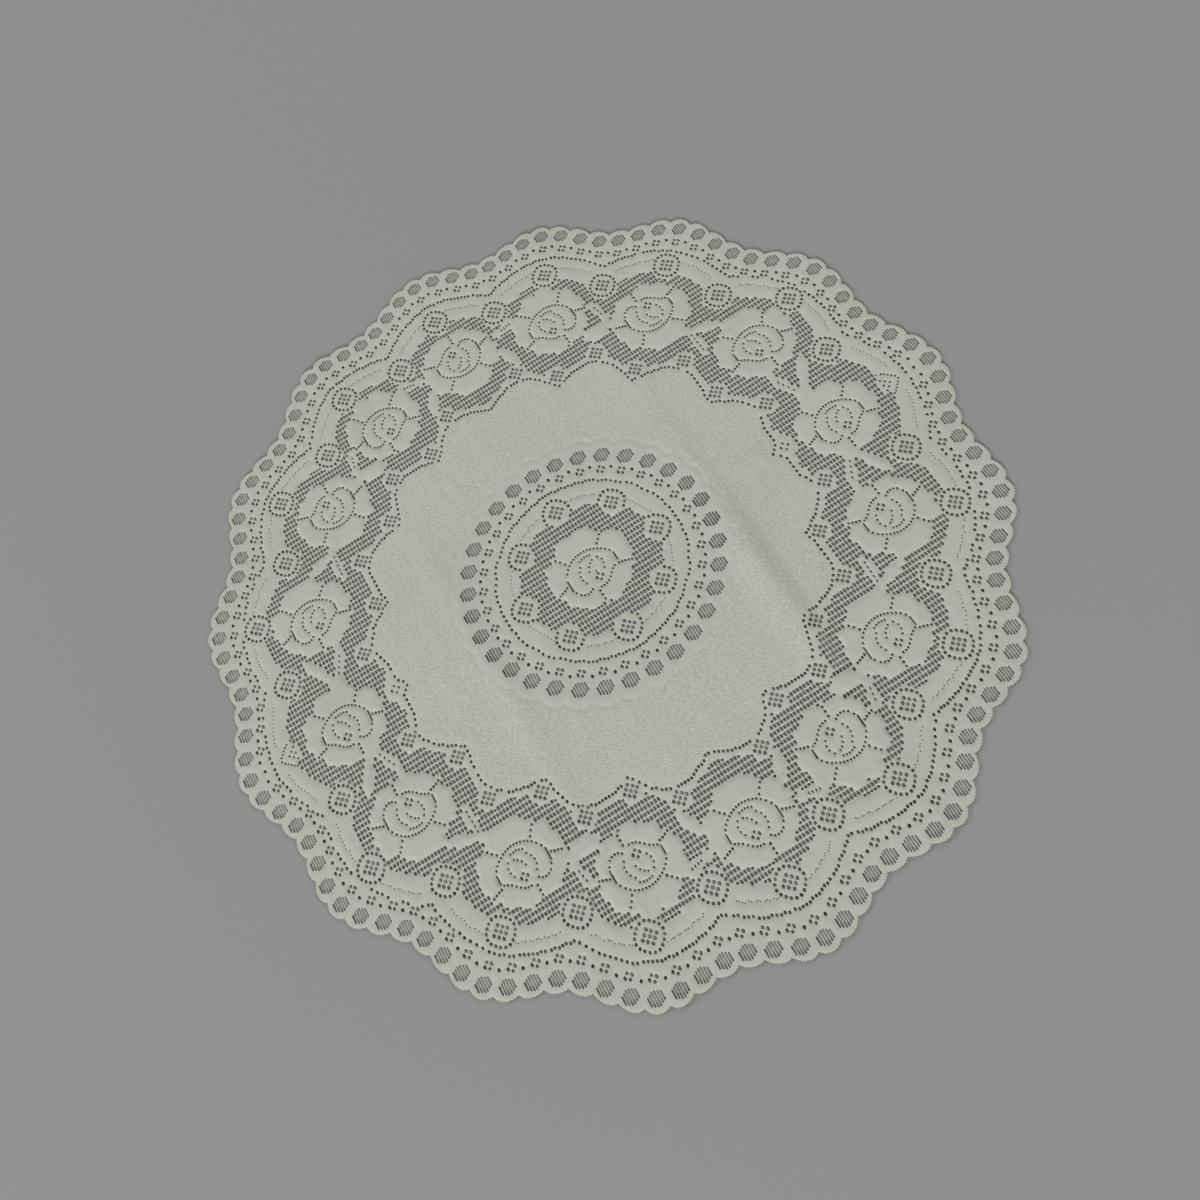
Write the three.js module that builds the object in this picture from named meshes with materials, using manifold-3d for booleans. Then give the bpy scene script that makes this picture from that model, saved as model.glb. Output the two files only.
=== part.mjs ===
// Round lace table topper with a border of roses, lying flat with a soft storage crease.
// One knitted piece: dense cloth, thinner net round the roses, and a scalloped edge with open eyelets.
// Millimetres, +Z up. The origin is at the middle of the underside, on the surface it lies on.
// +Y runs along the knit's wales, so every motif stands upright along Y.

import * as THREE from 'three';
import { mergeGeometries, mergeVertices } from 'three/addons/utils/BufferGeometryUtils.js';
import Module from 'manifold-3d';

const wasm = await Module();
wasm.setup();

// Thicknesses
const CLOTH_THICKNESS = 1.6;
const NET_THICKNESS = 1.0;

// Border: one rose in each sector, with a lobe of the edge outside it
const SECTORS = 16;
const SCALLOPS_PER_SECTOR = 7;
const EDGE = { mean: 371, swing: 8.5 }; // radius of the edge line and how far its lobes swing
const SCALLOP_TIP = 1.5;
const SCALLOP_VALLEY = -2.5;
const SCALLOP_SHOULDER = 0.45; // share of the half pitch at which a scallop turns
const BORDER_EYELET = { width: 13.5, height: 14.5, inset: 10 };

// Net between the edge band and the plain field
const NET_OUTER = { mean: 309, swing: 11 };
const NET_INNER = { mean: 227, swing: -10 };
const NET_EDGE_STEPS = 8; // points on each net edge in a sector

// Roses, each at its own radius from the side to the top of a quarter, and turned a little with the knit
const ROSE = { width: 84, height: 76, radii: [268.5, 273.5, 267.5, 268.5, 264], turn: 1.1 };
const PETALS = 5;
const PETAL_NOTCH = 0.8; // radius between two petals, as a share of the rose's
const PETAL_SHOULDER = 0.5; // share of the half petal at which its round end turns
// Leaves of one quarter, two in each gap from the side to the top, each pointing along a direction in degrees
const LEAVES = [
  { x: 261, y: 39, direction: 62, length: 38, width: 11 },
  { x: 255, y: 39, direction: 117, length: 36, width: 11 },
  { x: 205.5, y: 156.5, direction: -87, length: 34, width: 10.5 },
  { x: 205.5, y: 156.5, direction: -20.5, length: 34, width: 10.5 },
  { x: 148, y: 209, direction: 178, length: 33, width: 16 },
  { x: 147, y: 219, direction: 102, length: 26, width: 10.5 },
  { x: 41, y: 248.5, direction: -66, length: 26, width: 12 },
  { x: 47, y: 269, direction: 10, length: 25, width: 10 },
];
const LEAF_STEM = 2;
const LEAF_SECTIONS = [ // where along the leaf, and how wide there, as shares of its length and width
  { along: 0.4, wide: 1 },
  { along: 0.8, wide: 0.6 },
];

// Medallion in the middle, a little wider than it is high
const MEDALLION = { eyelets: 32, radiusX: 120, radiusY: 111, eyeletWidth: 15, eyeletHeight: 15.5 };
const MEDALLION_NET = { radiusX: 67, radiusY: 61, steps: 32 };
const MEDALLION_ROSE = { width: 90, height: 78 };

// Soft creases along the wales, each as a low ridge that the cloth follows on both faces
const CREASES = [
  { x: 130, halfWidth: 26, height: 3 },
  { x: -125, halfWidth: 22, height: 1.4 },
];
const CREASE_STATIONS = [-1, -0.45, 0, 0.45, 1]; // shares of the half width at which a crease bends

// Working room for the cuts
const CUT_CLEARANCE = 1; // how far a cutter reaches past the faces that it opens
const SLAB_REACH = EDGE.mean + 30; // past the edge all round
const CUTTER_TOP = 10; // above the highest crease

const lace = new THREE.MeshStandardMaterial({ color: 0xd9d6c6, roughness: 0.92, metalness: 0 });

const turn = THREE.MathUtils.degToRad;
const onCircle = (radius, angle) => new THREE.Vector2(radius * Math.cos(angle), radius * Math.sin(angle));
const wave = ({ mean, swing }, angle) => mean + swing * Math.cos(SECTORS * angle);

// A prism of a closed outline between two heights.
function prism(outline, bottom, top) {
  const settings = { depth: top - bottom, bevelEnabled: false };
  return new THREE.ExtrudeGeometry(new THREE.Shape(outline), settings).translate(0, 0, bottom);
}

function solidOf(geometry) {
  const bare = geometry.clone();
  bare.deleteAttribute('normal');
  bare.deleteAttribute('uv');
  const closed = mergeVertices(bare);
  const vertProperties = new Float32Array(closed.attributes.position.array);
  const triVerts = new Uint32Array(closed.index.array);
  return new wasm.Manifold(new wasm.Mesh({ numProp: 3, vertProperties, triVerts }));
}

// The scalloped edge: a valley and two shoulders for each eyelet.
function edgeOutline() {
  const count = SECTORS * SCALLOPS_PER_SECTOR;
  const halfPitch = Math.PI / count;
  const outline = [];
  for (let i = 0; i < count; i++) {
    const corners = [[-1, SCALLOP_VALLEY], [-SCALLOP_SHOULDER, SCALLOP_TIP], [SCALLOP_SHOULDER, SCALLOP_TIP]];
    for (const [share, rise] of corners) {
      const angle = (2 * i + share) * halfPitch;
      outline.push(onCircle(wave(EDGE, angle) + rise, angle));
    }
  }
  return outline;
}

// A hexagon with upright sides and a corner at its top and bottom.
function eyeletOutline(centre, width, height) {
  const corners = [[0.5, 0.25], [0, 0.5], [-0.5, 0.25], [-0.5, -0.25], [0, -0.5], [0.5, -0.25]];
  return corners.map(([x, y]) => new THREE.Vector2(centre.x + x * width, centre.y + y * height));
}

function borderEyelets() {
  const count = SECTORS * SCALLOPS_PER_SECTOR;
  return Array.from({ length: count }, (_, i) => {
    const angle = (i / count) * 2 * Math.PI;
    const centre = onCircle(wave(EDGE, angle) - BORDER_EYELET.inset, angle);
    return eyeletOutline(centre, BORDER_EYELET.width, BORDER_EYELET.height);
  });
}

function medallionEyelets() {
  const { eyelets, radiusX, radiusY, eyeletWidth, eyeletHeight } = MEDALLION;
  return Array.from({ length: eyelets }, (_, i) => {
    const angle = (i / eyelets) * 2 * Math.PI;
    const centre = new THREE.Vector2(radiusX * Math.cos(angle), radiusY * Math.sin(angle));
    return eyeletOutline(centre, eyeletWidth, eyeletHeight);
  });
}

function netEdge(edge) {
  const count = SECTORS * NET_EDGE_STEPS;
  return Array.from({ length: count }, (_, i) => {
    const angle = (i / count) * 2 * Math.PI;
    return onCircle(wave(edge, angle), angle);
  });
}

// Five blunt petals round a centre, with the first one at the top.
function roseOutline(centre, { width, height }) {
  const halfPetal = Math.PI / PETALS;
  const outline = [];
  for (let petal = 0; petal < PETALS; petal++) {
    for (const [share, reach] of [[-1, PETAL_NOTCH], [-PETAL_SHOULDER, 1], [PETAL_SHOULDER, 1]]) {
      const angle = Math.PI / 2 + (2 * petal + share) * halfPetal;
      const x = centre.x + (reach * width * Math.cos(angle)) / 2;
      outline.push(new THREE.Vector2(x, centre.y + (reach * height * Math.sin(angle)) / 2));
    }
  }
  return outline;
}

// A pointed leaf of the quarter, mirrored by a sign across and along.
function leafOutline(leaf, signX, signY) {
  const along = onCircle(1, turn(leaf.direction));
  const across = onCircle(1, turn(leaf.direction + 90));
  const place = (length, side) => {
    const point = new THREE.Vector2(leaf.x, leaf.y).addScaledVector(along, length).addScaledVector(across, side);
    return new THREE.Vector2(signX * point.x, signY * point.y);
  };
  const rim = (side) => LEAF_SECTIONS.map((section) => {
    return place(section.along * leaf.length, (side * section.wide * leaf.width) / 2);
  });
  const outline = [place(-LEAF_STEM, 0), ...rim(-1), place(leaf.length, 0), ...rim(1).toReversed()];
  return signX * signY > 0 ? outline : outline.toReversed();
}

function leafOutlines() {
  const mirrors = [[1, 1], [-1, 1], [-1, -1], [1, -1]];
  return LEAVES.flatMap((leaf) => mirrors.map(([signX, signY]) => leafOutline(leaf, signX, signY)));
}

function borderRoses() {
  return Array.from({ length: SECTORS }, (_, i) => {
    const angle = (i / SECTORS) * 2 * Math.PI;
    const radius = ROSE.radii[Math.min(i % 8, 8 - (i % 8))];
    return roseOutline(onCircle(radius, angle + turn(ROSE.turn) * Math.sin(2 * angle)), ROSE);
  });
}

function creaseLift(x) {
  return CREASES.reduce((lift, crease) => {
    const share = Math.min(1, Math.abs(x - crease.x) / crease.halfWidth);
    return lift + (crease.height * (1 + Math.cos(Math.PI * share))) / 2;
  }, 0);
}

// A slab between two heights that rises over each crease, cut to an outline.
function creasedSlab(outline, bottom, top) {
  const bends = CREASES.flatMap(({ x, halfWidth }) => CREASE_STATIONS.map((share) => x + share * halfWidth));
  const stations = [-SLAB_REACH, ...bends.sort((a, b) => a - b), SLAB_REACH];
  const section = [
    ...stations.map((x) => new THREE.Vector2(x, bottom + creaseLift(x))),
    ...stations.toReversed().map((x) => new THREE.Vector2(x, top + creaseLift(x))),
  ];
  // The section lies in X and Z, and runs along Y.
  const slab = prism(section, -SLAB_REACH, SLAB_REACH).rotateX(Math.PI / 2);
  return solidOf(slab).intersect(solidOf(prism(outline, -CUT_CLEARANCE, CUTTER_TOP)));
}

// What is taken off the top where the cloth thins to net, round the raised motifs.
function netRecess() {
  const slab = (outline) => creasedSlab(outline, NET_THICKNESS, CLOTH_THICKNESS + CUT_CLEARANCE);
  const block = (outline) => solidOf(prism(outline, -CUT_CLEARANCE, CUTTER_TOP));
  const disc = new THREE.EllipseCurve(0, 0, MEDALLION_NET.radiusX, MEDALLION_NET.radiusY);
  let ring = slab(netEdge(NET_OUTER)).subtract(block(netEdge(NET_INNER)));
  for (const outline of [...borderRoses(), ...leafOutlines()]) ring = ring.subtract(block(outline));
  const middle = slab(disc.getPoints(MEDALLION_NET.steps).slice(1));
  return ring.add(middle.subtract(block(roseOutline(new THREE.Vector2(), MEDALLION_ROSE))));
}

function eyeletCutters() {
  const outlines = [...borderEyelets(), ...medallionEyelets()];
  return solidOf(mergeGeometries(outlines.map((outline) => prism(outline, -CUT_CLEARANCE, CUTTER_TOP))));
}

function geometryOf(solid) {
  const { vertProperties, triVerts } = solid.getMesh();
  const geometry = new THREE.BufferGeometry();
  geometry.setAttribute('position', new THREE.BufferAttribute(vertProperties, 3));
  geometry.setIndex(new THREE.BufferAttribute(triVerts, 1));
  geometry.computeVertexNormals();
  return geometry;
}

const cloth = creasedSlab(edgeOutline(), 0, CLOTH_THICKNESS);
const openwork = cloth.subtract(netRecess()).subtract(eyeletCutters());
const topper = new THREE.Mesh(geometryOf(openwork), lace);
topper.name = 'lace_topper';

const part = new THREE.Group();
part.add(topper);

export default part;
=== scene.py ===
"""Round lace table topper, lying flat with soft storage creases.

The lace is one thin knitted sheet. Its holes are worked out from named sizes in millimetres, the sheet
is triangulated between them, and its yarns stand up from the rims of the holes.
"""

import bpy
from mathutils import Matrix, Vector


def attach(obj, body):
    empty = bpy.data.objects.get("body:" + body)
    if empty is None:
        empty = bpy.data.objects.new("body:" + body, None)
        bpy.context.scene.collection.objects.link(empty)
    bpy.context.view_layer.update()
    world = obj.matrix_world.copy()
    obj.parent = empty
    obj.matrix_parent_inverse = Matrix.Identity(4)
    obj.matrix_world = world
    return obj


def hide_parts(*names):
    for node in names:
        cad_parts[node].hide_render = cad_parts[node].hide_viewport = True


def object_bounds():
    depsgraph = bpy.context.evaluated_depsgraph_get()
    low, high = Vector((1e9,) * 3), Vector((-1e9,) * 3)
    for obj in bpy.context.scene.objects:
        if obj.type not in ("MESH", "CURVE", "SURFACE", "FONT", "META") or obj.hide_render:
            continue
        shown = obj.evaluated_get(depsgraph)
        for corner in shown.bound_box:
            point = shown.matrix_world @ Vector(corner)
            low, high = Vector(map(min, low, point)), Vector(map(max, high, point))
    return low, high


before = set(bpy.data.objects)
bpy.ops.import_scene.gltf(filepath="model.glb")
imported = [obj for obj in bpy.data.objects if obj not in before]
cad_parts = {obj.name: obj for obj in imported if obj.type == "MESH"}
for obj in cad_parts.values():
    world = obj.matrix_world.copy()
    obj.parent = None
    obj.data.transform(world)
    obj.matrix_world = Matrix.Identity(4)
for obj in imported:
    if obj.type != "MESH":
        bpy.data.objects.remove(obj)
CAD_BOX = [list(corner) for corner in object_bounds()]

import math
import random
from typing import NamedTuple

import bpy
from mathutils import Matrix, Vector, noise
from mathutils.geometry import delaunay_2d_cdt

bl_info = {
    "name": "Lace table topper",
    "version": (1, 0, 0),
    "blender": (4, 5, 0),
    "location": "View3D > Sidebar > Lace topper",
    "description": "Makes a round lace table topper with a border of roses",
    "category": "Add Mesh",
}

MM = 0.001
TURN = 2 * math.pi

# Knit: one cell of the net, and the least yarn that is left between two holes, in millimetres
WALE = 3.35
COURSE = 5.1
LEAST_BAR = 0.5
SLOT_SHARE = 0.7  # width of a slot in an eyelet, as a share of the slots' pitch
UNEVEN = 0.06  # how far the corners of a hole stray, as a share of its width
POINTED_END = 0.65  # height of a straight hole's pointed end, as a share of half its width
WIDEST_YARN = 2.9  # widest yarn between two holes that gets a point in its middle

# How dense the knit looks: lighter above zero, darker below it
KNIT_DENSITY = {"plain": 0.55, "field": 0.2, "groove": -0.4, "net": -1.3, "petal": 1, "leaf": 1}
# Painted shade: the yarn at the rims of the holes and at the edge is darkened, as if shade fell into the holes
RIM_PAINTED_SHADE = -1.8
THREAD_DENSITY = -0.8

# Holes, as width and height
NET_HOLE = (2.65, 4.3)
EDGE_EYELET = (13.9, 14.8)
MEDALLION_EYELET = (15.2, 15.6)
SPOT = (3.1, 3.8)  # between two rosettes
SIDE_SPOT = (3, 3.7)  # in place of a rosette on the left and the right
RING_DOT = (3.1, 3.6)
OUTER_DOT = (2.8, 3.6)
FIELD_DOT = (2.8, 3.5)
MEDALLION_DOT = (2.8, 3.4)
BAND_DOT = (1, 1.5)
FAINT_DOT = (1, 1.4)
VEIN_DOT = (1.4, 3.2)
CORE_DOT = (1.7, 2.2)
SIDE_DIAMOND_HOLE = (2.2, 2.5)
SIDE_DIAMOND_DOT = (2, 2.5)
FAINT_STEP = 0.65  # how close the dots of a faint line stand, in wales or courses
LINE_SAMPLES = 6000  # places that are tried along a line round the topper

# Border: one rose in each sector, with a lobe of the edge outside it
SECTORS = 16
SCALLOPS = 7
EYELETS = SECTORS * SCALLOPS


def polar(radius, angle):
    return radius * math.cos(angle), radius * math.sin(angle)


def sector_share(angle):
    """How far an angle is from the middle of its sector: 0 there, 1 between two sectors."""
    turns = angle * SECTORS / TURN
    return 2 * abs(turns - round(turns))


class Ring(NamedTuple):
    """A line round the topper whose radius swings with the lobes of the edge."""

    mean: float
    swing: float

    def at(self, angle):
        return self.mean + self.swing * math.cos(SECTORS * angle)


class Arcs(NamedTuple):
    """A line round the topper with an arc outside each rose, drawn in where two arcs meet."""

    top: float
    drop: float
    power: float

    def at(self, angle):
        return self.top - self.drop * sector_share(angle) ** self.power


EDGE = Ring(371, 8.5)
EYELET_RING = Ring(361, 8.5)
SPOT_RING = Ring(347.5, 8.5)
ROSETTE_RING = Ring(345.5, 8.5)
OUTER_LINE = Arcs(343.5, 18.5, 1.65)
BAND_LINE = Arcs(333, 20, 1.65)
NET_OUTER = Arcs(320, 24, 1.7)
NET_INSET = 7  # from the dotted line round the field to the net
NET_REACH = 330  # no net outside this radius
FIELD_NOTCH = 216  # radius of the field's dotted line between two roses
FIELD_POINT = 195.5  # its radius inside a rose
FIELD_END_POINT = 201  # inside the roses at the top and the bottom
FIELD_SIDE = 205  # inside the roses on the left and the right
SIDE_POINT_DEPTH = 8.8  # of the small point in the line there
SIDE_POINT_WIDTH = 0.21  # as a share of the sector
FIELD_RIM = 2  # plain cloth inside the dotted line
BAND_ARC = (2.6, 6.3)  # where a faint arc starts beside a rose and how far it runs, in degrees
KNIT_GROWTH = 0.016  # share by which the knit widens the rings
KNIT_GROWTH_END, KNIT_GROWTH_FADE = 352, 25  # not at all outside this radius, and in full this far inside it
KNIT_TURN = math.radians(2)  # angle by which the knit turns the rings
KNIT_TURN_FADE, KNIT_TURN_MOST = 160, 1.1  # in full this far inside the edge, and at most by this share
ROSE_TURN = math.radians(1.1)  # and the roses
ROSE_RADII = (268.5, 273.5, 267.5, 268.5, 264)  # from the side to the top of a quarter
LEAF_JOINT = 5  # plain cloth where a leaf starts
LEAF_STEM = 2  # how far a leaf reaches behind its start
VEIN_START, VEIN_SPARE = 6, 14  # plain leaf before its vein, and in all
ROSE_REACH = 48  # more than half a rose
LEAF_REACH = 42  # more than a leaf
FRILL_DEPTH = 3.6
PEAK_DIAMONDS = 326  # outside a rose
NOTCH_DIAMONDS = 302.5  # between two roses
PEAK_SMALL_DIAMONDS = 207
NOTCH_SMALL_DIAMONDS = 225
DIAMOND_CLEAR = 15.5  # plain cloth round a diamond
SMALL_DIAMOND_CLEAR = 10.5
RING_CORNERS = 0.04  # how far the corners of a diamond's ring stand out, as a share of its radius
SIDE_DIAMOND = 321  # x of the half diamonds on the left and the right
SIDE_DIAMOND_HOLES = ((0, 0), (3.3, 3.1), (3.3, -3.1), (6.6, 0), (0, 6.1), (0, -6.1))
SIDE_DIAMOND_LINE = ((0, 13), (5, 11), (10.5, 6), (15.5, 0), (10.5, -6), (5, -11), (0, -13))
SIDE_ROSETTE = (212.5, 1)  # inside the roses on the left and the right
SIDE_CLEAR = (211, 1, 12.5)  # middle and radius of the plain cloth round it
SCALLOP_TIP = 1.5
SCALLOP_VALLEY = -2.5
PICOTS = 8  # small teeth on each scallop
PICOT_RISE = 0.55

# Medallion in the middle, a little wider than it is high
MEDALLION_EYELETS = 32
MEDALLION_EYELET_RING = (120, 111)
LOBE_REACH = 16  # from the middle of an eyelet to the edge of the lobe round it
LOBE_GROOVE = 2.6  # width of the thin cloth round the lobes
LOBE_STEPS = 40
MEDALLION_SPOT_RING = (107.5, 99.5)
MEDALLION_ROSETTE_RING = (104.8, 96.2)
MEDALLION_LINE = (92.4, 86.2)
MEDALLION_FAINT_LINE = (77, 72)
FAINT_TURN = 0.0024  # angle between two places that are tried on it
MEDALLION_DIAMONDS = (71.5, 66)
MEDALLION_DIAGONAL = 0.975  # the diamonds on the diagonals stand further in
MEDALLION_DIAMOND_CLEAR = 12
MEDALLION_NET = (69.5, 63)
MEDALLION_INSIDE = 75  # radius that holds the net and the rose
MIDDLE_ROSE_RISE = 1.5
MIDDLE_ROSE_GROWTH = (1.05, 1)


class Petal(NamedTuple):
    """Where a petal starts and ends round its rose in degrees, and its edge.

    The edge is given by how far the petal and the notch beside it reach, and how many frills it has.
    """

    start: float
    end: float
    reach: float
    notch: float
    frills: int


PETALS = (
    Petal(43, 135, 40.5, 31, 2),
    Petal(135, 204, 42, 33, 2),
    Petal(204, 276, 40, 33, 2),
    Petal(276, 347, 40.5, 33, 2),
    Petal(347, 403, 42, 32, 2),
)
# Dotted lines of the upright rose, as corners of smooth curves from its middle
PETAL_PARTINGS = (
    ((-22, 23), (-17.5, 18), (-13.5, 14.5)),
    ((23.5, 23), (19.5, 18), (16.5, 13.5)),
    ((-35, -15), (-29, -12.5), (-23.5, -11)),
    ((36, -9), (30, -7), (25.5, -5)),
    ((3.5, -24.5), (3.5, -29), (3.5, -34)),
)
ROSE_CUP = (
    ((-22.5, 4.5), (-19, 8.5), (-13.5, 12.5), (-6, 15.8), (2, 16.6), (10, 14.8), (16, 11), (20.5, 6), (23.2, 1.5)),
    ((-22, -9.5), (-16.5, -12.5), (-11, -18), (-5.5, -21.6), (1.5, -22.2)),
    ((22.4, -14.5), (19.5, -19), (14.5, -21.5), (9.5, -20.5), (6, -17)),
)
ROSE_HEART = (
    ((-10, 5.2), (-12.3, 1), (-12.2, -4), (-10.5, -8)),
    ((-4.5, 5.2), (-0.6, 2.4), (2, -1.5), (3.4, -5.8)),
    ((7.8, 4.5), (10.6, 0.5), (11.8, -4.5), (11, -10), (8.5, -13.8)),
    ((-5, 10.5), (1, 11.2), (7, 9.2)),
)
ROSE_LINES = (
    # corners, width and height of the dots, and how close they stand
    (PETAL_PARTINGS, 2.4, 2.9, 0.88),
    (ROSE_CUP, 2.1, 2.6, 0.85),
    (ROSE_HEART, 1.8, 2.4, 0.8),
)
ROSE_SLITS = ((-24.2, -3.2, 1.5, 9.5), (24, -6.2, 1.6, 12.5))  # x, y, width and height
ROSE_CORE = (-3, -12.5)
ROSE_CORE_DOT = (-2.7, -6.3)
INVERTED_ROSES = (2, 4, 6, 9, 11, 13, 15)
SIDE_ROSE_DROP = 1.7  # the roses on the left and the right sit a little low


# Leaves of one quarter, two in each gap from the side to the top
QUARTER_LEAVES = (
    # x, y, direction in degrees, whether it is veined, length and width
    (261, 39, 62, False, 38, 11),
    (255, 39, 117, True, 36, 11),
    (205.5, 156.5, -87, True, 34, 10.5),
    (205.5, 156.5, -20.5, False, 34, 10.5),
    (148, 209, 178, False, 33, 16),
    (147, 219, 102, True, 26, 10.5),
    (41, 248.5, -66, False, 26, 12),
    (47, 269, 10, True, 25, 10),
)


class Crease(NamedTuple):
    """A soft ridge along the wales, wider on one side than on the other."""

    x: float
    bow: float  # how far it bends to the side
    left: float  # its width on each side
    right: float
    height: float
    fullest_at: float  # y at which it stands highest
    fullness: float  # share of its height that is there only


CREASES = (
    Crease(133, -3, 30, 20, 2.8, -80, 0.8),
    Crease(-127, 4, 20, 24, 1.2, -70, 0.6),
)
BOW_MIDDLE, BOW_LENGTH = 40, 120  # y at which a crease bends, and over what length
FULL_LENGTH = 90  # how far from its fullest place a crease fades
CROSS_CREASE = (190, 4, 45, 16, 0.5)  # middle, half its length, half its width and its height
SAG = 0.35  # height of the soft unevenness of cloth that lies loose
SAG_SIZE = (55, 80)

# Points that carry the yarn where there are few holes
PETAL_PITCH = 3
CLOTH_PITCH = 4.6
CLOTH_REACH = 376
EDGE_CLEAR = 4.5
EDGE_LINE = 1.6  # how far inside the edge a line of points runs
HEX_ROW = 0.866  # from row to row, as a share of the pitch


class Hole(NamedTuple):
    """A hole in the lace, round or with straight upright sides."""

    x: float
    y: float
    width: float
    height: float
    straight: bool = False
    in_eyelet: bool = False


def hole_gap(hole, x, y):
    """How far a place is outside a hole's rim."""
    dx, dy = abs(x - hole.x), abs(y - hole.y)
    if hole.straight:
        return max(dx - hole.width / 2, dy - hole.height / 2)
    share = math.hypot(dx / (hole.width / 2), dy / (hole.height / 2))
    away = math.hypot(dx, dy)
    return away - away / share if share > 1e-6 else -min(hole.width, hole.height) / 2


def hole_outline(hole, rng):
    """The corners of a hole's rim, a little uneven as knitting is."""
    if hole.straight:
        shoulder = 1 - POINTED_END * hole.width / hole.height
        corners = [(0, -1), (1, -shoulder), (1, shoulder), (0, 1), (-1, shoulder), (-1, -shoulder)]
    else:
        corners = [polar(1, TURN * (k + 0.5) / 6) for k in range(6)]
    uneven = UNEVEN * hole.width
    return [
        (
            hole.x + across * hole.width / 2 + rng.uniform(-uneven, uneven),
            hole.y + along * hole.height / 2 + rng.uniform(-uneven, uneven),
        )
        for across, along in corners
    ]


# Places on the rings

def knit_pull(radius, angle):
    """How the knit draws a ring out of round: by what share it grows here, and by what angle it turns."""
    growth = KNIT_GROWTH * min(1, max(0, (KNIT_GROWTH_END - radius) / KNIT_GROWTH_FADE))
    turning = KNIT_TURN * min(KNIT_TURN_MOST, max(0, (EDGE.mean - radius) / KNIT_TURN_FADE))
    return 1 + growth * math.cos(2 * angle), turning * math.sin(2 * angle)


def on_ring(radius, angle):
    growth, turning = knit_pull(radius, angle)
    return polar(radius * growth, angle + turning)


def ring_of(x, y):
    """The radius and angle at which on_ring gives this place."""
    radius, angle = math.hypot(x, y), math.atan2(y, x)
    growth, turning = knit_pull(radius, angle)
    return radius / growth, angle - turning


def on_ellipse(radii, angle):
    return radii[0] * math.cos(angle), radii[1] * math.sin(angle)


def field_edge(angle):
    """Radius of the dotted line round the field, drawn in inside each rose."""
    half_sector = TURN / SECTORS / 2
    if abs(math.sin(angle)) < math.sin(half_sector):
        # straight on the left and the right, with a small point
        share = sector_share(angle)
        notch = (FIELD_NOTCH - FIELD_SIDE) * max(0, 2 * share - 1) ** 1.5
        return FIELD_SIDE + notch - SIDE_POINT_DEPTH * max(0, 1 - share / SIDE_POINT_WIDTH)
    point = FIELD_END_POINT if abs(math.sin(angle)) > math.cos(half_sector) else FIELD_POINT
    return point + (FIELD_NOTCH - point) * abs(math.sin(SECTORS / 2 * angle)) ** 1.15


def in_medallion(x, y, reach=LOBE_REACH):
    """Whether a place is in the medallion or in the smooth lobes round its eyelets."""
    across, along = x / MEDALLION_EYELET_RING[0], y / MEDALLION_EYELET_RING[1]
    step = TURN / MEDALLION_EYELETS
    nearest = round(math.atan2(along, across) / step) * step
    away = math.dist((x, y), on_ellipse(MEDALLION_EYELET_RING, nearest))
    return away < reach or math.hypot(across, along) < 1


def smooth_curve(corners, samples=24):
    """Points of a smooth line through its corners."""
    ends = [corners[0], *corners, corners[-1]]
    for a, b, c, d in zip(ends, ends[1:], ends[2:], ends[3:]):
        a, b, c, d = map(Vector, (a, b, c, d))
        for i in range(samples):
            t = i / samples
            yield 0.5 * (2 * b + (c - a) * t + (2 * a - 5 * b + 4 * c - d) * t**2 + (3 * b - a - 3 * c + d) * t**3)
    yield Vector(corners[-1])


# Figures of holes

def dotted(points, width, height, step=1, on_stitches=True):
    """A hole each time a line has gone on by one wale or one course."""
    last = None
    for x, y in points:
        if last and max(abs(x - last[0]) / WALE, abs(y - last[1]) / COURSE) < step:
            continue
        last = x, y
        if on_stitches:
            x, y = round(2 * x / WALE) * WALE / 2, round(3 * y / COURSE) * COURSE / 3
        yield Hole(x, y, width, height)


def eyelet(place, width, height):
    """Six upright slots between the threads that cross a hexagonal eyelet."""
    pitch = width / (5 + SLOT_SHARE)
    for i in (-2.5, -1.5, -0.5, 0.5, 1.5, 2.5):
        tall = height * (1 - abs(i) * pitch / width)
        yield Hole(place[0] + i * pitch, place[1], SLOT_SHARE * pitch, tall, True, True)


def rosette(place, across=3.2, along=2.9, size=3):
    """Four holes round a place."""
    for side in (-1, 1):
        yield Hole(place[0] + side * across, place[1], size, 1.4 * size)
        yield Hole(place[0], place[1] + side * along, size, 1.1 * size)


def diamond(place, across=3.3, along=3.05, size=3.5):
    """Nine holes set on the diagonal."""
    for i in (-1, 0, 1):
        for j in (-1, 0, 1):
            yield Hole(place[0] + (i - j) * across, place[1] + (i + j) * along, size, 1.15 * size)


def small_diamond(place):
    return diamond(place, across=3.2, along=2.95, size=3.4)


def diamond_ring(place, radius=12.6, count=18, start=0, sweep=TURN):
    """Dots round a diamond, squarer than a circle and standing on a corner."""
    for i in range(count):
        angle = start + sweep * i / count
        reach = radius * (1 + RING_CORNERS * math.cos(4 * angle))
        x, y = polar(reach, angle)
        yield Hole(place[0] + x, place[1] + y, *RING_DOT)


def side_diamond(side):
    """Half a diamond on the left or the right, in a pointed line of dots."""
    base = side * SIDE_DIAMOND
    for across, along in SIDE_DIAMOND_HOLES:
        yield Hole(base + side * across, along, *SIDE_DIAMOND_HOLE)
    line = ((base + side * u, v) for u, v in smooth_curve(SIDE_DIAMOND_LINE))
    yield from dotted(line, *SIDE_DIAMOND_DOT, step=0.66, on_stitches=False)


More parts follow.
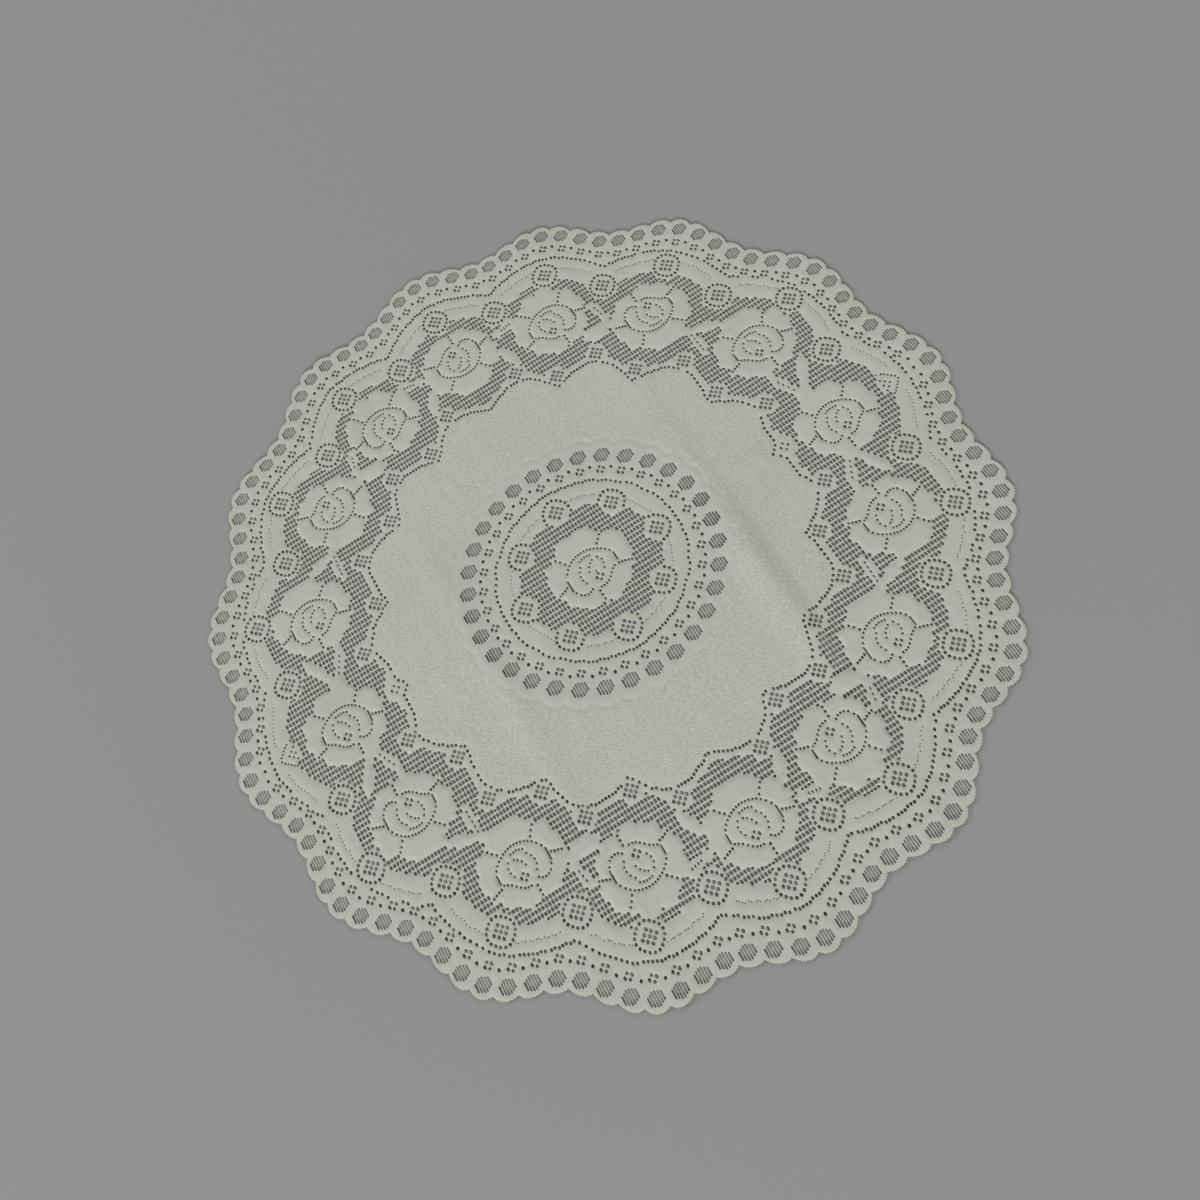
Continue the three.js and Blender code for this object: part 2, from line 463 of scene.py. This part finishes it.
class Rose(NamedTuple):
    """A rose of five petals, drawn in dotted lines."""

    x: float
    y: float
    mirrored: bool
    inverted: bool
    growth: tuple = (1, 0.965)

    def scale(self):
        return (-1 if self.mirrored else 1) * self.growth[0], (-1 if self.inverted else 1) * self.growth[1]

    def place(self, point):
        across, along = self.scale()
        return self.x + across * point[0], self.y + along * point[1]

    def inside(self, x, y):
        """How far a place is inside the petals' edge, below zero outside it."""
        across, along = self.scale()
        dx, dy = (x - self.x) / across, (y - self.y) / along
        degrees = math.degrees(math.atan2(dy, dx)) % 360
        if degrees < PETALS[0].start:
            degrees += 360
        petal = next(p for p in PETALS if p.start <= degrees <= p.end)
        share = (degrees - petal.start) / (petal.end - petal.start)
        dome = math.sin(math.pi * share) ** 0.5
        frill = 1 - abs(math.sin(petal.frills * math.pi * share))
        return petal.notch + (petal.reach - petal.notch - FRILL_DEPTH * frill) * dome - math.hypot(dx, dy)

    def holes(self):
        for x, y, width, height in ROSE_SLITS:
            yield Hole(*self.place((x, y)), width, height, True)
        yield from rosette(self.place(ROSE_CORE), across=3.1, along=3, size=2.8)
        yield Hole(*self.place(ROSE_CORE_DOT), *CORE_DOT)
        for lines, width, height, step in ROSE_LINES:
            for line in lines:
                yield from dotted(map(self.place, smooth_curve(line)), width, height, step, on_stitches=False)


class Leaf(NamedTuple):
    """A pointed leaf, with or without a dotted vein."""

    x: float
    y: float
    direction: float
    veined: bool
    length: float
    width: float

    def inside(self, x, y):
        """How far a place is inside the leaf's edge, below zero outside it."""
        dx, dy = x - self.x, y - self.y
        along = dx * math.cos(self.direction) + dy * math.sin(self.direction)
        across = dy * math.cos(self.direction) - dx * math.sin(self.direction)
        share = (along + LEAF_STEM) / (self.length + LEAF_STEM)
        if not 0 < share < 1:
            return -99
        return self.width / 2 * math.sin(math.pi * share**1.15) ** 0.9 - abs(across)

    def holes(self):
        if self.veined:
            steps = range(int(10 * (self.length - VEIN_SPARE)))
            vein = (polar(VEIN_START + 0.1 * i, self.direction) for i in steps)
            line = ((self.x + u, self.y + v) for u, v in vein)
            yield from dotted(line, *VEIN_DOT, step=0.95, on_stitches=False)


def border_roses():
    """One rose in each sector, mirrored or turned upside down in some."""
    for k in range(SECTORS):
        angle = TURN * k / SECTORS
        # Roses keep their own radius and only turn with the knit.
        x, y = polar(ROSE_RADII[min(k % 8, 8 - k % 8)], angle + ROSE_TURN * math.sin(2 * angle))
        if k % 8 == 0:
            y -= SIDE_ROSE_DROP
        on_right = x > 1
        yield Rose(x, y, on_right == (k % 2 == 0), k in INVERTED_ROSES)


def border_leaves():
    """The leaves of one quarter, mirrored to the other three."""
    for x, y, degrees, veined, length, width in QUARTER_LEAVES:
        u, v = polar(1, math.radians(degrees))
        for across in (-1, 1):
            for along in (-1, 1):
                yield Leaf(across * x, along * y, math.atan2(along * v, across * u), veined, length, width)


class Lace:
    """The lace's motifs and holes. Each hole goes in only where it leaves enough yarn beside those before it."""

    SQUARE = 8

    def __init__(self):
        self.roses = list(border_roses())
        self.middle_rose = Rose(0, MIDDLE_ROSE_RISE, True, False, MIDDLE_ROSE_GROWTH)
        self.leaves = list(border_leaves())
        # x, y and radius of the plain cloth where leaves meet and round each diamond
        self.plain = [(leaf.x, leaf.y, LEAF_JOINT) for leaf in self.leaves]
        self.holes = []
        self.squares = {}
        self.add_edge()
        self.add_medallion()
        self.add_diamonds()
        self.add_lines()
        for motif in (*self.roses, self.middle_rose, *self.leaves):
            self.add(motif.holes())
        self.add(self.net())

    def around(self, x, y):
        """Holes in the squares round a place."""
        i, j = int(x // self.SQUARE), int(y // self.SQUARE)
        for di in (-1, 0, 1):
            for dj in (-1, 0, 1):
                yield from self.squares.get((i + di, j + dj), ())

    def add(self, holes):
        for hole in holes:
            if any(self.crowds(hole, other) for other in self.around(hole.x, hole.y)):
                continue
            self.holes.append(hole)
            low, high = hole.y - hole.height / 2, hole.y + hole.height / 2
            for j in range(int(low // self.SQUARE), int(high // self.SQUARE) + 1):
                self.squares.setdefault((int(hole.x // self.SQUARE), j), []).append(hole)

    @staticmethod
    def crowds(hole, other):
        if hole.in_eyelet and other.in_eyelet:
            return False
        across = (hole.width + other.width) / 2 + LEAST_BAR
        along = (hole.height + other.height) / 2 + LEAST_BAR
        return math.hypot((hole.x - other.x) / across, (hole.y - other.y) / along) < 1

    def add_edge(self):
        for i in range(EYELETS):
            angle = TURN * i / EYELETS
            self.add(eyelet(polar(EYELET_RING.at(angle), angle), *EDGE_EYELET))
            place = polar(ROSETTE_RING.at(angle), angle)
            on_side = i % (EYELETS // 2) == 0
            self.add([Hole(*place, *SIDE_SPOT)] if on_side else rosette(place))
            between = angle + TURN / EYELETS / 2
            self.add([Hole(*polar(SPOT_RING.at(between), between), *SPOT)])

    def add_medallion(self):
        for i in range(MEDALLION_EYELETS):
            angle = TURN * i / MEDALLION_EYELETS
            self.add(eyelet(on_ellipse(MEDALLION_EYELET_RING, angle), *MEDALLION_EYELET))
            self.add(rosette(on_ellipse(MEDALLION_ROSETTE_RING, angle)))
            between = angle + TURN / MEDALLION_EYELETS / 2
            self.add([Hole(*on_ellipse(MEDALLION_SPOT_RING, between), *SPOT)])
        samples = [TURN * i / LINE_SAMPLES for i in range(LINE_SAMPLES)]
        self.add(dotted((on_ellipse(MEDALLION_LINE, a) for a in samples), *MEDALLION_DOT))
        for k in range(8):
            angle = TURN * k / 8
            shrink = MEDALLION_DIAGONAL if k % 2 else 1
            x, y = on_ellipse(MEDALLION_DIAMONDS, angle)
            place = shrink * x, shrink * y
            self.plain.append((*place, MEDALLION_DIAMOND_CLEAR))
            self.add(diamond(place))
            facing = math.atan2(place[1], place[0])
            self.add(diamond_ring(place, radius=12.9, count=10, start=facing - 1.6, sweep=3.55))
        for k in range(8):
            middle = TURN * (k + 0.5) / 8
            arc = (on_ellipse(MEDALLION_FAINT_LINE, middle + FAINT_TURN * i) for i in range(-100, 101))
            self.add(dotted(arc, *FAINT_DOT, step=FAINT_STEP))

    def add_diamonds(self):
        for k in range(SECTORS):
            peak, notch = TURN * k / SECTORS, TURN * (k + 0.5) / SECTORS
            places = [(NOTCH_DIAMONDS, notch)]
            small_places = [(NOTCH_SMALL_DIAMONDS, notch)]
            if k % 8 == 0:
                side = 1 if k == 0 else -1
                self.add(side_diamond(side))
                self.add(rosette((side * SIDE_ROSETTE[0], SIDE_ROSETTE[1]), across=3.6, along=3.5, size=2.4))
                self.plain.append((side * SIDE_CLEAR[0], *SIDE_CLEAR[1:]))
            else:
                places.append((PEAK_DIAMONDS, peak))
            if k % 4:
                small_places.append((PEAK_SMALL_DIAMONDS, peak))
            for ring in places:
                place = on_ring(*ring)
                self.plain.append((*place, DIAMOND_CLEAR))
                self.add(diamond(place))
                self.add(diamond_ring(place))
            for ring in small_places:
                place = on_ring(*ring)
                self.plain.append((*place, SMALL_DIAMOND_CLEAR))
                self.add(small_diamond(place))

    def add_lines(self):
        samples = [TURN * i / LINE_SAMPLES for i in range(LINE_SAMPLES)]
        self.add(dotted((on_ring(OUTER_LINE.at(a), a) for a in samples), *OUTER_DOT))
        inner = (on_ring(field_edge(a), a) for a in samples)
        self.add(dotted(inner, *FIELD_DOT, step=0.95))
        start, length = BAND_ARC
        for k in range(SECTORS):
            for side in (-1, 1):
                arc = [TURN * k / SECTORS + side * math.radians(start + length * i / 200) for i in range(201)]
                self.add(dotted((on_ring(BAND_LINE.at(a), a) for a in arc), *BAND_DOT, step=FAINT_STEP))

    @staticmethod
    def near(motif, x, y, reach):
        """Whether a place is in the square round a motif, which is quicker to tell than whether it is inside."""
        return abs(x - motif.x) < reach and abs(y - motif.y) < reach

    def motif_at(self, x, y, margin=0):
        """What the cloth is here: petal, leaf, net, field, groove or plain, with motifs widened by a margin."""
        if math.hypot(x, y) < MEDALLION_INSIDE:
            if self.middle_rose.inside(x, y) > -margin:
                return "petal"
            in_net = math.hypot(x / MEDALLION_NET[0], y / MEDALLION_NET[1]) < 1
        else:
            radius, angle = ring_of(x, y)
            if radius < field_edge(angle) - FIELD_RIM:
                if in_medallion(x, y):
                    return "plain"
                return "groove" if in_medallion(x, y, LOBE_REACH + LOBE_GROOVE) else "field"
            if radius > NET_REACH:
                return "plain"
            for rose in self.roses:
                if self.near(rose, x, y, ROSE_REACH) and rose.inside(x, y) > -margin:
                    return "petal"
            for leaf in self.leaves:
                if self.near(leaf, x, y, LEAF_REACH) and leaf.inside(x, y) > -margin:
                    return "leaf"
            in_net = field_edge(angle) + NET_INSET < radius < NET_OUTER.at(angle)
        if in_net and not any(math.hypot(x - px, y - py) < clear for px, py, clear in self.plain):
            return "net"
        return "plain"

    def net(self):
        """The net's holes, one in each wale of each course."""
        wales, courses = int(NET_REACH / WALE), int(NET_REACH / COURSE)
        for i in range(-wales, wales + 1):
            for j in range(-courses, courses + 1):
                x, y, third = i * WALE, j * COURSE, NET_HOLE[1] / 3
                # beside a motif only the part of a hole that is outside it stays open
                parts = [part for part in (-1, 0, 1) if self.motif_at(x, y + part * third, 0.2) == "net"]
                if len(parts) > 1 and 0 in parts:
                    middle = y + third * sum(parts) / len(parts)
                    yield Hole(x, middle, NET_HOLE[0], third * len(parts), True)


class Studs:
    """Points that carry the yarn between the holes, kept apart from each other and from the rims."""

    SQUARE = 4

    def __init__(self, lace):
        self.lace = lace
        self.points = []
        self.squares = {}

    def add(self, places, apart, clear):
        for x, y in places:
            i, j = int(x // self.SQUARE), int(y // self.SQUARE)
            near = (p for di in (-1, 0, 1) for dj in (-1, 0, 1) for p in self.squares.get((i + di, j + dj), ()))
            if any((x - px) ** 2 + (y - py) ** 2 < apart**2 for px, py in near):
                continue
            if any(hole_gap(hole, x, y) < clear for hole in self.lace.around(x, y)):
                continue
            self.points.append((x, y))
            self.squares.setdefault((i, j), []).append((x, y))


def between_holes(lace):
    """The middle of the yarn between each two holes that are close together."""
    for hole in lace.holes:
        for other in lace.around(hole.x, hole.y):
            if (other.x, other.y) <= (hole.x, hole.y):
                continue
            dx, dy = other.x - hole.x, other.y - hole.y
            away = math.hypot(dx, dy)
            near = away - hole_gap(hole, other.x, other.y)
            far = hole_gap(other, hole.x, hole.y)
            if 0 < far - near < WIDEST_YARN:
                middle = (near + far) / 2 / away
                yield hole.x + middle * dx, hole.y + middle * dy


def along_threads(lace):
    """Points along the threads that cross the eyelets."""
    slots = [hole for hole in lace.holes if hole.in_eyelet]
    for left, right in zip(slots, slots[1:]):
        if left.x < right.x and left.y == right.y:
            for share in (-0.4, -0.2, 0, 0.2, 0.4):
                yield (left.x + right.x) / 2, left.y + share * min(left.height, right.height)


def lobe_edges():
    """Lines of points on both sides of the groove round the medallion's lobes."""
    for i in range(MEDALLION_EYELETS):
        x, y = on_ellipse(MEDALLION_EYELET_RING, TURN * i / MEDALLION_EYELETS)
        groove = LOBE_REACH, LOBE_REACH + LOBE_GROOVE
        for reach in (edge + side for edge in groove for side in (-0.5, 0.6)):
            for k in range(LOBE_STEPS):
                dx, dy = polar(reach, TURN * k / LOBE_STEPS)
                if not in_medallion(x + dx, y + dy, reach - 0.05):
                    yield x + dx, y + dy


def round_dots(lace, reach=1.05):
    """Points just outside the rims of the round holes."""
    for hole in lace.holes:
        if not hole.straight:
            for k in range(6):
                x, y = polar(1, TURN * k / 6)
                yield hole.x + x * (hole.width / 2 + reach), hole.y + y * (hole.height / 2 + reach)


def edge_outline(inset=0):
    """The scalloped edge with its small teeth, or a line inside it."""
    steps = 3 * PICOTS
    for i in range(EYELETS * steps):
        angle = TURN * (i / steps - 0.5) / EYELETS
        share = 2 * (i % steps) / steps - 1
        rise = SCALLOP_VALLEY + (SCALLOP_TIP - SCALLOP_VALLEY) * (1 - abs(share) ** 2.2)
        tooth = PICOT_RISE * (1 if i % 3 == 1 else -0.5)
        yield polar(EDGE.at(angle) + rise + tooth * (inset == 0) - inset, angle)


def hex_grid(pitch, reach):
    """Places at an even distance from each other, inside a radius."""
    rows = int(reach / (HEX_ROW * pitch))
    for j in range(-rows, rows + 1):
        for i in range(-int(reach / pitch), int(reach / pitch) + 1):
            x, y = (i + 0.5 * (j % 2)) * pitch, j * HEX_ROW * pitch
            if math.hypot(x, y) < reach:
                yield x, y


def cloth_lift(x, y):
    """How far the underside lies above the floor, over the creases and the soft unevenness of the cloth."""
    lift = 0
    for crease in CREASES:
        middle = crease.x + crease.bow * math.tanh((BOW_MIDDLE - y) / BOW_LENGTH)
        share = min(1, abs(x - middle) / (crease.left if x < middle else crease.right))
        strength = 1 - crease.fullness * (1 - math.exp(-(((y - crease.fullest_at) / FULL_LENGTH) ** 2)))
        lift += crease.height * strength * (1 + math.cos(math.pi * share)) / 2
    middle_x, middle_y, half_length, half_width, height = CROSS_CREASE
    share = min(1, math.hypot((x - middle_x) / half_length, (y - middle_y) / half_width))
    lift += height * (1 + math.cos(math.pi * share)) / 2
    return lift + SAG * (0.5 + 0.5 * noise.noise((x / SAG_SIZE[0], y / SAG_SIZE[1], 0.3)))


def motif_heights(sizes):
    """How high the yarn stands in each kind of cloth."""
    return {
        "plain": sizes.cloth,
        "field": sizes.field,
        "groove": sizes.groove,
        "net": sizes.net,
        "petal": sizes.petal,
        "leaf": sizes.petal,
    }


class LaceSizes(bpy.types.PropertyGroup):
    """Heights of the yarn over the underside."""

    cloth: bpy.props.FloatProperty(
        name="Cloth", description="Height of the dense plain knit",
        default=1.15 * MM, min=0.5 * MM, unit="LENGTH", precision=5,
    )
    field: bpy.props.FloatProperty(
        name="Field", description="Height of the grainy knit of the field",
        default=1.1 * MM, min=0.5 * MM, unit="LENGTH", precision=5,
    )
    groove: bpy.props.FloatProperty(
        name="Groove", description="Height of the thin cloth round the medallion",
        default=0.95 * MM, min=0.3 * MM, unit="LENGTH", precision=5,
    )
    petal: bpy.props.FloatProperty(
        name="Petals", description="Height of the roses and leaves",
        default=1.35 * MM, min=0.5 * MM, unit="LENGTH", precision=5,
    )
    net: bpy.props.FloatProperty(
        name="Net", description="Height of the net's yarns",
        default=1.15 * MM, min=0.3 * MM, unit="LENGTH", precision=5,
    )
    thread: bpy.props.FloatProperty(
        name="Threads", description="Height of the threads across the eyelets",
        default=0.9 * MM, min=0.3 * MM, unit="LENGTH", precision=5,
    )
    net_rim: bpy.props.FloatProperty(
        name="Net rims", description="Height of the rims of the net's holes",
        default=0.58 * MM, min=0.02 * MM, unit="LENGTH", precision=5,
    )
    rim: bpy.props.FloatProperty(
        name="Rims", description="Height of the edge and of the rims of the other holes",
        default=0.9 * MM, min=0.02 * MM, unit="LENGTH", precision=5,
    )


class LaceColours(bpy.types.PropertyGroup):
    """Colours of the yarn and the floor."""

    ivory: bpy.props.FloatVectorProperty(
        name="Ivory", description="Colour of the yarn",
        default=(0.65, 0.645, 0.58), subtype="COLOR", min=0, max=1,
    )
    aged: bpy.props.FloatVectorProperty(
        name="Aged", description="Colour of the yarn where it has yellowed",
        default=(0.595, 0.575, 0.455), subtype="COLOR", min=0, max=1,
    )
    floor: bpy.props.FloatVectorProperty(
        name="Floor", description="Colour of the plain floor",
        default=(0.34, 0.335, 0.325), subtype="COLOR", min=0, max=1,
    )


class Wire:
    """A shader socket that takes part in Python sums. Each sum adds a Math node."""

    def __init__(self, tree, socket=None):
        self.tree = tree
        self.socket = socket

    def node(self, kind, inputs, output=0, **settings):
        made = self.tree.nodes.new(kind)
        for name, value in settings.items():
            setattr(made, name, value)
        for name, value in inputs.items():
            target = made.inputs[name]
            if isinstance(value, Wire):
                self.tree.links.new(value.socket, target)
            else:
                target.default_value = value
        return Wire(self.tree, made.outputs[output])

    def maths(self, operation, first, second):
        return self.node("ShaderNodeMath", {0: first, 1: second}, operation=operation)

    def __add__(self, other):
        return self.maths("ADD", self, other)

    def __sub__(self, other):
        return self.maths("SUBTRACT", self, other)

    def __rsub__(self, other):
        return self.maths("SUBTRACT", other, self)

    def __mul__(self, other):
        return self.maths("MULTIPLY", self, other)

    __radd__ = __add__
    __rmul__ = __mul__


def ivory_lace_material(colours):
    """Matt ivory yarn, streaked along the wales, a little yellowed in places and darkened with painted shade at
    the rims of the holes and at the edge.
    """
    material = bpy.data.materials.new("ivory_lace")
    material.use_nodes = True
    tree = material.node_tree
    shader = tree.nodes["Principled BSDF"]
    start = Wire(tree)
    place = start.node("ShaderNodeTexCoord", {}, "Object")
    # knit tone, plus painted shade that darkens the rims of the holes and the edge
    density = start.node("ShaderNodeAttribute", {}, "Fac", attribute_name="density")
    field = start.node("ShaderNodeAttribute", {}, "Fac", attribute_name="grain")

    def grain(scale, detail, stretch=(1, 1, 1)):
        stretched = start.node("ShaderNodeVectorMath", {0: place, 1: stretch}, operation="MULTIPLY")
        return start.node("ShaderNodeTexNoise", {"Vector": stretched, "Scale": scale, "Detail": detail}, "Fac")

    blotches = grain(9, 3)
    streaks = grain(260, 2, (1, 0.12, 1))
    fuzz = grain(900, 2)
    slanted = start.node(
        "ShaderNodeMapping",
        {"Vector": place, "Rotation": (0, 0, math.radians(-30)), "Scale": (1.7, 1, 1)},
        vector_type="TEXTURE",
    )
    knots = start.node("ShaderNodeTexNoise", {"Vector": slanted, "Scale": 640, "Detail": 1}, "Fac")
    stitches = field * (knots - 0.5)
    yellowing = (blotches - 0.42) * 1.32
    yarn = start.node(
        "ShaderNodeMix",
        {"Factor": yellowing, "A": (*colours.ivory, 1), "B": (*colours.aged, 1)},
        "Result",
        data_type="RGBA",
    )
    # the attribute brings the knit's tone and the painted shade at the rims of the holes
    shade = 0.78 + 0.1 * streaks + 0.06 * fuzz + 0.16 * density + 0.48 * stitches
    toned = start.node("ShaderNodeVectorMath", {0: yarn, "Scale": shade}, operation="SCALE")
    tree.links.new(toned.socket, shader.inputs["Base Color"])
    roughness = 0.82 + 0.16 * fuzz
    tree.links.new(roughness.socket, shader.inputs["Roughness"])
    relief = 0.5 * streaks + 0.4 * fuzz + 1.5 * stitches
    bump = start.node("ShaderNodeBump", {"Height": relief, "Strength": 0.35, "Distance": 0.5 * MM}, "Normal")
    tree.links.new(bump.socket, shader.inputs["Normal"])
    shader.inputs["Sheen Weight"].default_value = 0.12
    shader.inputs["Sheen Roughness"].default_value = 0.6
    shader.inputs["Specular IOR Level"].default_value = 0.2
    return material


def floor_material(colours):
    material = bpy.data.materials.new("pale_floor")
    material.use_nodes = True
    shader = material.node_tree.nodes["Principled BSDF"]
    shader.inputs["Base Color"].default_value = (*colours.floor, 1)
    shader.inputs["Roughness"].default_value = 0.85
    return material


def lace_mesh(lace, sizes):
    """The sheet between the holes, as points, triangles and how dense and grainy the knit is at each point, with
    painted shade darkening the rims of the holes and the edge.
    """
    rng = random.Random(7)
    outlines = [list(edge_outline())] + [hole_outline(hole, rng) for hole in lace.holes]
    rim_heights = [sizes.rim]
    rim_heights += [sizes.net_rim if hole.straight and not hole.in_eyelet else sizes.rim for hole in lace.holes]
    rim_of = [height for outline, height in zip(outlines, rim_heights) for _ in outline]
    studs = Studs(lace)
    studs.add(along_threads(lace), apart=0.8, clear=0.25)
    threads = len(studs.points)
    studs.add(between_holes(lace), apart=0.5, clear=0.25)
    studs.add(round_dots(lace), apart=0.95, clear=0.4)
    studs.add(list(edge_outline(EDGE_LINE))[::2], apart=1, clear=0.4)
    studs.add(lobe_edges(), apart=0.9, clear=0.5)
    petals = (place for place in hex_grid(PETAL_PITCH, NET_REACH) if lace.motif_at(*place) == "petal")
    studs.add(petals, apart=1.7, clear=0.9)
    grid = hex_grid(CLOTH_PITCH, CLOTH_REACH)
    cloth = ((x, y) for x, y in grid if math.hypot(x, y) < EDGE.at(math.atan2(y, x)) - EDGE_CLEAR)
    studs.add(cloth, apart=2.6, clear=1.2)

    flat, faces = [], []
    for outline in outlines:
        faces.append(range(len(flat), len(flat) + len(outline)))
        flat += outline
    rims = len(flat)
    flat += studs.points
    inside_only, nearness = 1, 1e-5
    found = delaunay_2d_cdt([Vector(p) for p in flat], [], [list(face) for face in faces], inside_only, nearness)
    points, _, triangles, sources, _, owners = found
    # outline 0 is the edge, so what no other outline owns is cloth
    triangles = [triangle for triangle, owner in zip(triangles, owners) if list(owner) == [0]]

    heights = motif_heights(sizes)
    # dense holds the knit's tone and the painted shade at the rims of the holes
    raised, dense, grainy = [], [], []
    for point, source in zip(points, sources):
        x, y = point
        first = source[0]
        motif = ""
        if first < rims:
            # rims get painted shade: darker yarn where shade falls into the holes
            height, close = rim_of[first], RIM_PAINTED_SHADE
        elif first < rims + threads:
            height, close = sizes.thread, THREAD_DENSITY
        else:
            motif = lace.motif_at(x, y)
            height, close = heights[motif], KNIT_DENSITY[motif]
        raised.append((x * MM, y * MM, cloth_lift(x, y) * MM + height))
        dense.append(close)
        grainy.append(1 if motif in ("field", "groove") else 0)
    return raised, triangles, {"density": dense, "grain": grainy}


class LACETOPPER_OT_lace(bpy.types.Operator):
    """Make the lace as one thin sheet with its holes, roses and scalloped edge"""

    bl_idname = "lace_topper.make_lace"
    bl_label = "Lace"

    MAP_SHARE = 0.99  # how much of the flat map the cloth fills

    def execute(self, context):
        sizes, colours = context.scene.lace_sizes, context.scene.lace_colours
        points, triangles, knit = lace_mesh(Lace(), sizes)
        mesh = bpy.data.meshes.new("lace")
        mesh.from_pydata(points, [], triangles)
        mesh.shade_smooth()
        for name, values in knit.items():
            mesh.attributes.new(name, "FLOAT", "POINT").data.foreach_set("value", values)
        flat_map = mesh.uv_layers.new(name="OFBake")
        span = CAD_BOX[1][0] - CAD_BOX[0][0]
        for loop in mesh.loops:
            x, y, _ = points[loop.vertex_index]
            flat_map.data[loop.index].uv = 0.5 + self.MAP_SHARE * x / span, 0.5 + self.MAP_SHARE * y / span
        mesh.materials.append(ivory_lace_material(colours))
        lace = bpy.data.objects.new("lace", mesh)
        context.collection.objects.link(lace)
        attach(lace, "root")
        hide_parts("lace_topper")
        return {"FINISHED"}


class LACETOPPER_OT_stage(bpy.types.Operator):
    """Set the plain floor, the soft lights and the camera"""

    bl_idname = "lace_topper.set_stage"
    bl_label = "Stage"

    CAMERA = Vector((-0.01785, -0.26774, 0.75240))
    TARGET = Vector((-0.00877, -0.03039, 0))
    ROLL = math.radians(29.9)
    LENS, SENSOR = 25.83, 36
    FLOOR_REACH = 3
    FLOOR_DROP = 0.0001
    AMBIENT = 0.18
    LIGHTS = (
        # name, place, size and power
        ("front", (-6.8, -10, 3.8), 3.4, 1580),
        ("right", (10, -6.8, 3.8), 3.4, 405),
        ("back", (6.8, 10, 3.8), 3.4, 450),
        ("left", (-10, 6.8, 3.8), 3.4, 730),
    )

    def execute(self, context):
        scene = context.scene
        mesh = bpy.data.meshes.new("floor")
        corners = ((-1, -1), (1, -1), (1, 1), (-1, 1))
        points = [(self.FLOOR_REACH * x, self.FLOOR_REACH * y, -self.FLOOR_DROP) for x, y in corners]
        mesh.from_pydata(points, [], [(0, 1, 2, 3)])
        mesh.materials.append(floor_material(scene.lace_colours))
        floor = bpy.data.objects.new("floor", mesh)
        scene.collection.objects.link(floor)
        for name, place, size, power in self.LIGHTS:
            lamp = bpy.data.lights.new(name, "AREA")
            lamp.shape, lamp.size, lamp.energy = "DISK", size, power
            light = bpy.data.objects.new(name, lamp)
            light.location = place
            light.rotation_euler = (-Vector(place)).to_track_quat("-Z", "Y").to_euler()
            scene.collection.objects.link(light)
        world = bpy.data.worlds.new("studio")
        world.use_nodes = True
        background = world.node_tree.nodes["Background"]
        background.inputs["Color"].default_value = (1, 1, 1, 1)
        background.inputs["Strength"].default_value = self.AMBIENT
        scene.world = world
        scene.view_settings.view_transform = "Standard"
        self.add_camera(scene)
        return {"FINISHED"}

    def add_camera(self, scene):
        data = bpy.data.cameras.new("camera")
        data.lens, data.sensor_width = self.LENS, self.SENSOR
        data.clip_start = 0.01
        camera = bpy.data.objects.new("camera", data)
        back = (self.CAMERA - self.TARGET).normalized()
        level = Vector((0, 0, 1)).cross(back).normalized()
        upright = back.cross(level)
        up = math.cos(self.ROLL) * upright + math.sin(self.ROLL) * level
        right = up.cross(back)
        turned = Matrix((right, up, back)).transposed().to_4x4()
        camera.matrix_world = Matrix.Translation(self.CAMERA) @ turned
        scene.collection.objects.link(camera)
        scene.camera = camera


class LACETOPPER_PT_panel(bpy.types.Panel):
    """Sizes and colours of the topper"""

    bl_label = "Lace topper"
    bl_idname = "LACETOPPER_PT_panel"
    bl_space_type = "VIEW_3D"
    bl_region_type = "UI"
    bl_category = "Lace topper"

    def draw(self, context):
        for group in (context.scene.lace_sizes, context.scene.lace_colours):
            for name in group.__annotations__:
                self.layout.prop(group, name)
        for operator in (LACETOPPER_OT_lace, LACETOPPER_OT_stage):
            self.layout.operator(operator.bl_idname)


CLASSES = (LaceSizes, LaceColours, LACETOPPER_OT_lace, LACETOPPER_OT_stage, LACETOPPER_PT_panel)


def register():
    for cls in CLASSES:
        bpy.utils.register_class(cls)
    bpy.types.Scene.lace_sizes = bpy.props.PointerProperty(type=LaceSizes)
    bpy.types.Scene.lace_colours = bpy.props.PointerProperty(type=LaceColours)


def unregister():
    del bpy.types.Scene.lace_colours
    del bpy.types.Scene.lace_sizes
    for cls in reversed(CLASSES):
        bpy.utils.unregister_class(cls)


def main():
    register()
    bpy.ops.lace_topper.make_lace()
    bpy.ops.lace_topper.set_stage()


if __name__ == "__main__":
    main()
